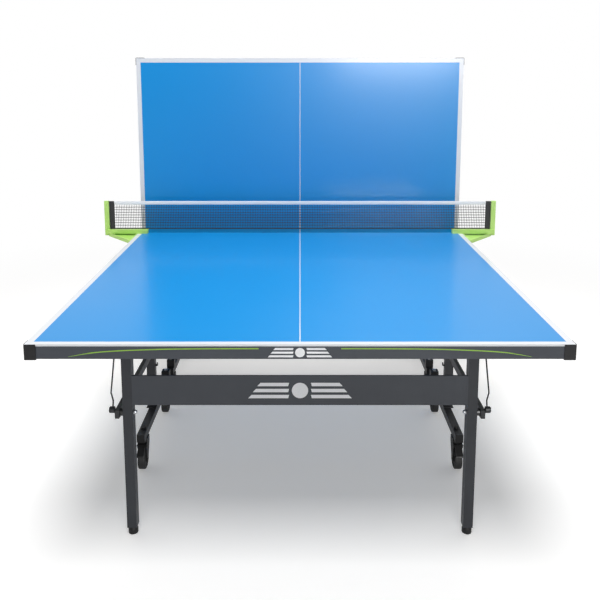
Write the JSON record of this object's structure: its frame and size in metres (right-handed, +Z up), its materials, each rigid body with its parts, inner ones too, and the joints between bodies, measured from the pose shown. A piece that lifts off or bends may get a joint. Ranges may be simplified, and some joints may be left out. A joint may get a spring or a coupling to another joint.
{
  "type": "ping pong table",
  "caption": "Outdoor rollaway ping pong table with blue boards, grey steel legs and lime net clamps; one half flat, the other folded upright for solo play.",
  "frame": {"origin": "on the floor, under the middle of the whole table's box", "axes": "+X to the right along the net, +Y from the flat half towards the folded half, +Z up"},
  "size_m": [1.838, 1.7702, 1.5773],
  "materials": {
    "blue_board": "anti-glare lacquer with white lines",
    "grey_steel": "satin powder coat",
    "black_steel": "satin powder coat",
    "black_plastic": "moulded",
    "black_rubber": "moulded",
    "zinc": "zinc plated",
    "lime_plastic": "moulded, satin",
    "net_mesh": "knotted mesh with a white top tape"
  },
  "bodies": {
    "near_trolley": {"near_trolley_rails": "black_steel", "near_trolley_uprights": "black_steel", "near_trolley_crossbar": "black_steel", "near_rail_caps": "black_plastic", "near_trolley_bolts": "zinc"},
    "near_top": {"near_top_board": "blue_board", "near_end_apron": "grey_steel", "near_side_frame": "black_steel", "near_corner_caps": "black_plastic", "near_hinge_brackets": "black_steel", "net_fabric": "net_mesh", "net_clamp_left": "lime_plastic", "net_clamp_right": "lime_plastic"},
    "near_leg": {"near_leg_tubes": "grey_steel", "near_leg_crosspiece": "grey_steel", "near_leg_bolts": "zinc"},
    "near_links": {"near_link_bars": "black_steel"},
    "near_release": {"near_release_linkage": "black_steel"},
    "far_trolley": {"far_trolley_rails": "black_steel", "far_trolley_uprights": "black_steel", "far_trolley_crossbar": "black_steel", "far_rail_caps": "black_plastic", "far_trolley_bolts": "zinc"},
    "far_top": {"far_top_board": "blue_board", "far_end_apron": "grey_steel", "far_side_frame": "black_steel", "far_corner_caps": "black_plastic", "far_hinge_brackets": "black_steel"},
    "far_leg": {"far_leg_tubes": "grey_steel", "far_leg_crosspiece": "grey_steel", "far_leg_bolts": "zinc"},
    "far_links": {"far_link_bars": "black_steel"},
    "far_release": {"far_release_linkage": "black_steel"},
    "near_leg_end_left_caster": {"near_leg_end_left_fork": "black_plastic"},
    "near_leg_end_left_wheel": {"near_leg_end_left_wheel": "black_rubber"},
    "near_leg_end_left_pedal": {"near_leg_end_left_pedal": "black_plastic"},
    "near_net_end_left_caster": {"near_net_end_left_fork": "black_plastic"},
    "near_net_end_left_wheel": {"near_net_end_left_wheel": "black_rubber"},
    "near_leg_glide_left": {"near_leg_glide_left": "black_rubber"},
    "near_leg_end_right_caster": {"near_leg_end_right_fork": "black_plastic"},
    "near_leg_end_right_wheel": {"near_leg_end_right_wheel": "black_rubber"},
    "near_leg_end_right_pedal": {"near_leg_end_right_pedal": "black_plastic"},
    "near_net_end_right_caster": {"near_net_end_right_fork": "black_plastic"},
    "near_net_end_right_wheel": {"near_net_end_right_wheel": "black_rubber"},
    "near_leg_glide_right": {"near_leg_glide_right": "black_rubber"},
    "far_leg_end_left_caster": {"far_leg_end_left_fork": "black_plastic"},
    "far_leg_end_left_wheel": {"far_leg_end_left_wheel": "black_rubber"},
    "far_leg_end_left_pedal": {"far_leg_end_left_pedal": "black_plastic"},
    "far_net_end_left_caster": {"far_net_end_left_fork": "black_plastic"},
    "far_net_end_left_wheel": {"far_net_end_left_wheel": "black_rubber"},
    "far_leg_glide_left": {"far_leg_glide_left": "black_rubber"},
    "far_leg_end_right_caster": {"far_leg_end_right_fork": "black_plastic"},
    "far_leg_end_right_wheel": {"far_leg_end_right_wheel": "black_rubber"},
    "far_leg_end_right_pedal": {"far_leg_end_right_pedal": "black_plastic"},
    "far_net_end_right_caster": {"far_net_end_right_fork": "black_plastic"},
    "far_net_end_right_wheel": {"far_net_end_right_wheel": "black_rubber"},
    "far_leg_glide_right": {"far_leg_glide_right": "black_rubber"},
    "clamp_screw_left": {"clamp_screw_left": "black_plastic"},
    "clamp_screw_right": {"clamp_screw_right": "black_plastic"}
  },
  "joints": [
    {"name": "near_fold", "type": "hinge", "parent": "near_trolley", "child": "near_top", "pos_m": [0, -0.00788, 0.7], "axis": [-1, 0, 0], "range_deg": [0, 90]},
    {"name": "far_fold", "type": "hinge", "parent": "far_trolley", "child": "far_top", "pos_m": [0, 0.60813, 0.7], "axis": [-1, 0, 0], "range_deg": [0, 90]},
    {"name": "near_release_pull", "type": "slide", "parent": "near_leg", "child": "near_release", "axis": [0, 0, 1], "range_m": [0, 0.008], "stiffness_N_per_m": 2500, "springref_m": -0.004},
    {"name": "far_release_pull", "type": "slide", "parent": "far_leg", "child": "far_release", "axis": [0, 0, 1], "range_m": [0, 0.008], "stiffness_N_per_m": 2500, "springref_m": -0.004},
    {"name": "press_near_leg_end_left_pedal", "type": "hinge", "parent": "near_leg_end_left_caster", "child": "near_leg_end_left_pedal", "pos_m": [-0.603, -0.24488, 0.096], "axis": [1, 0, 0], "range_deg": [0, 12]},
    {"name": "press_near_leg_end_right_pedal", "type": "hinge", "parent": "near_leg_end_right_caster", "child": "near_leg_end_right_pedal", "pos_m": [0.603, -0.24488, 0.096], "axis": [1, 0, 0], "range_deg": [0, 12]},
    {"name": "press_far_leg_end_left_pedal", "type": "hinge", "parent": "far_leg_end_left_caster", "child": "far_leg_end_left_pedal", "pos_m": [-0.603, 0.84513, 0.096], "axis": [-1, 0, 0], "range_deg": [0, 12]},
    {"name": "press_far_leg_end_right_pedal", "type": "hinge", "parent": "far_leg_end_right_caster", "child": "far_leg_end_right_pedal", "pos_m": [0.603, 0.84513, 0.096], "axis": [-1, 0, 0], "range_deg": [0, 12]},
    {"name": "near_leg_swing", "type": "hinge", "parent": "near_top", "child": "near_leg", "pos_m": [0, -0.61087, 0.7], "axis": [-1, 0, 0], "range_deg": [-90, 0]},
    {"name": "near_link_swing", "type": "hinge", "parent": "near_trolley", "child": "near_links", "pos_m": [0, -0.00788, 0.422], "axis": [-1, 0, 0], "range_deg": [0, 90]},
    {"name": "far_leg_swing", "type": "hinge", "parent": "far_top", "child": "far_leg", "pos_m": [0, 0.60813, 1.303], "axis": [-1, 0, 0], "range_deg": [-90, 0]},
    {"name": "far_link_swing", "type": "hinge", "parent": "far_trolley", "child": "far_links", "pos_m": [0, 0.60813, 0.422], "axis": [-1, 0, 0], "range_deg": [0, 90]},
    {"name": "far_roll", "type": "slide", "parent": "near_trolley", "child": "far_trolley", "axis": [0, 1, 0], "range_m": [0, 0.385]},
    {"name": "swivel_near_leg_end_left", "type": "hinge", "parent": "near_trolley", "child": "near_leg_end_left_caster", "pos_m": [-0.603, -0.21288, 0.118], "axis": [0, 0, 1], "continuous": true},
    {"name": "swivel_near_net_end_left", "type": "hinge", "parent": "near_trolley", "child": "near_net_end_left_caster", "pos_m": [-0.603, 0.23713, 0.118], "axis": [0, 0, 1], "continuous": true},
    {"name": "swivel_near_leg_end_right", "type": "hinge", "parent": "near_trolley", "child": "near_leg_end_right_caster", "pos_m": [0.603, -0.21288, 0.118], "axis": [0, 0, 1], "continuous": true},
    {"name": "swivel_near_net_end_right", "type": "hinge", "parent": "near_trolley", "child": "near_net_end_right_caster", "pos_m": [0.603, 0.23713, 0.118], "axis": [0, 0, 1], "continuous": true},
    {"name": "swivel_far_leg_end_left", "type": "hinge", "parent": "far_trolley", "child": "far_leg_end_left_caster", "pos_m": [-0.603, 0.81312, 0.118], "axis": [0, 0, 1], "continuous": true},
    {"name": "swivel_far_net_end_left", "type": "hinge", "parent": "far_trolley", "child": "far_net_end_left_caster", "pos_m": [-0.603, 0.36312, 0.118], "axis": [0, 0, 1], "continuous": true},
    {"name": "swivel_far_leg_end_right", "type": "hinge", "parent": "far_trolley", "child": "far_leg_end_right_caster", "pos_m": [0.603, 0.81312, 0.118], "axis": [0, 0, 1], "continuous": true},
    {"name": "swivel_far_net_end_right", "type": "hinge", "parent": "far_trolley", "child": "far_net_end_right_caster", "pos_m": [0.603, 0.36312, 0.118], "axis": [0, 0, 1], "continuous": true},
    {"name": "wheel_near_leg_end_left", "type": "hinge", "parent": "near_leg_end_left_caster", "child": "near_leg_end_left_wheel", "pos_m": [-0.603, -0.23387, 0.038], "axis": [1, 0, 0], "continuous": true},
    {"name": "wheel_near_net_end_left", "type": "hinge", "parent": "near_net_end_left_caster", "child": "near_net_end_left_wheel", "pos_m": [-0.603, 0.21613, 0.038], "axis": [1, 0, 0], "continuous": true},
    {"name": "wheel_near_leg_end_right", "type": "hinge", "parent": "near_leg_end_right_caster", "child": "near_leg_end_right_wheel", "pos_m": [0.603, -0.23387, 0.038], "axis": [1, 0, 0], "continuous": true},
    {"name": "wheel_near_net_end_right", "type": "hinge", "parent": "near_net_end_right_caster", "child": "near_net_end_right_wheel", "pos_m": [0.603, 0.21613, 0.038], "axis": [1, 0, 0], "continuous": true},
    {"name": "wheel_far_leg_end_left", "type": "hinge", "parent": "far_leg_end_left_caster", "child": "far_leg_end_left_wheel", "pos_m": [-0.603, 0.83413, 0.038], "axis": [1, 0, 0], "continuous": true},
    {"name": "wheel_far_net_end_left", "type": "hinge", "parent": "far_net_end_left_caster", "child": "far_net_end_left_wheel", "pos_m": [-0.603, 0.38412, 0.038], "axis": [1, 0, 0], "continuous": true},
    {"name": "wheel_far_leg_end_right", "type": "hinge", "parent": "far_leg_end_right_caster", "child": "far_leg_end_right_wheel", "pos_m": [0.603, 0.83413, 0.038], "axis": [1, 0, 0], "continuous": true},
    {"name": "wheel_far_net_end_right", "type": "hinge", "parent": "far_net_end_right_caster", "child": "far_net_end_right_wheel", "pos_m": [0.603, 0.38412, 0.038], "axis": [1, 0, 0], "continuous": true},
    {"name": "turn_near_leg_glide_left", "type": "hinge", "parent": "near_leg", "child": "near_leg_glide_left", "pos_m": [-0.551, -0.61087, 0.012], "axis": [0, 0, 1], "continuous": true},
    {"name": "turn_near_leg_glide_right", "type": "hinge", "parent": "near_leg", "child": "near_leg_glide_right", "pos_m": [0.551, -0.61087, 0.012], "axis": [0, 0, 1], "continuous": true},
    {"name": "turn_far_leg_glide_left", "type": "hinge", "parent": "far_leg", "child": "far_leg_glide_left", "pos_m": [-0.551, 0.60813, 0.615], "axis": [0, 0, 1], "continuous": true},
    {"name": "turn_far_leg_glide_right", "type": "hinge", "parent": "far_leg", "child": "far_leg_glide_right", "pos_m": [0.551, 0.60813, 0.615], "axis": [0, 0, 1], "continuous": true},
    {"name": "turn_clamp_screw_left", "type": "hinge", "parent": "near_top", "child": "clamp_screw_left", "pos_m": [-0.7497, 0.38512, 0.69], "axis": [0, 0, 1], "continuous": true},
    {"name": "turn_clamp_screw_right", "type": "hinge", "parent": "near_top", "child": "clamp_screw_right", "pos_m": [0.7497, 0.38512, 0.69], "axis": [0, 0, 1], "continuous": true}
  ],
  "couplings": [
    {"joint": "near_leg_swing", "follows": "near_fold", "ratio": -1},
    {"joint": "near_link_swing", "follows": "near_fold", "ratio": 1},
    {"joint": "far_leg_swing", "follows": "far_fold", "ratio": -1},
    {"joint": "far_link_swing", "follows": "far_fold", "ratio": 1},
    {"joint": "far_roll", "follows": "far_fold", "m_per_rad": 0.24192}
  ]
}
